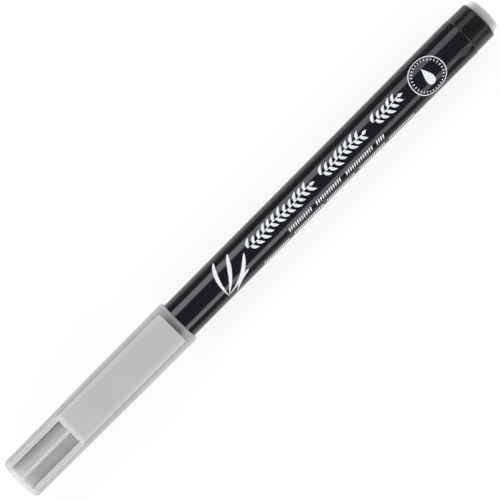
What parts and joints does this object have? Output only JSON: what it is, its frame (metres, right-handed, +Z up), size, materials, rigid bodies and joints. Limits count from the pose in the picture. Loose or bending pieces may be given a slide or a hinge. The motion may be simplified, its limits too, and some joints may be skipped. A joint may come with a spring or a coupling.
{
  "type": "brush marker",
  "caption": "Capped brush marker with a round barrel, a flexible felt brush tip, a snap cap with a flat sprung clip on ribs, and a rear end plug.",
  "frame": {"origin": "on the table under the middle of the capped pen's length", "axes": "+X along the pen from the cap's closed end to the end plug, +Z up through the middle of the clip, +Y across"},
  "size_m": [0.142, 0.0108, 0.0125],
  "materials": {
    "barrel_black": "polished black moulding",
    "section_black": "satin black moulding",
    "cap_grey": "smooth pale grey, faintly translucent",
    "plug_grey": "smooth grey, translucent",
    "liner_white": "natural milky moulding",
    "nib_felt": "bonded fibre, wet with ink",
    "reservoir_fibre": "bundled fibre, soaked with ink",
    "clear_film": "clear wrapping film"
  },
  "bodies": {
    "barrel": {"barrel": "barrel_black", "end_plug": "plug_grey", "ink_reservoir": "reservoir_fibre", "reservoir_film": "clear_film", "grip_section": "section_black", "nib_rod": "nib_felt"},
    "cap": {"cap_shell": "cap_grey", "inner_cap": "liner_white"},
    "clip": {"clip": "cap_grey"},
    "brush_tip": {"brush_tip": "nib_felt"}
  },
  "joints": [
    {"name": "cap_slide", "type": "slide", "parent": "barrel", "child": "cap", "axis": [-1, 0, 0], "range_m": [0, 0.045]},
    {"name": "clip_flex", "type": "hinge", "parent": "cap", "child": "clip", "pos_m": [-0.05458, 0, 0.01137], "axis": [0, -1, 0], "range_deg": [0, 4], "stiffness_Nm_per_rad": 0.3},
    {"name": "nib_bend", "type": "hinge", "parent": "barrel", "child": "brush_tip", "pos_m": [-0.0464, 0, 0.00542], "axis": [0, 1, 0], "range_deg": [-18, 18], "stiffness_Nm_per_rad": 0.012}
  ]
}
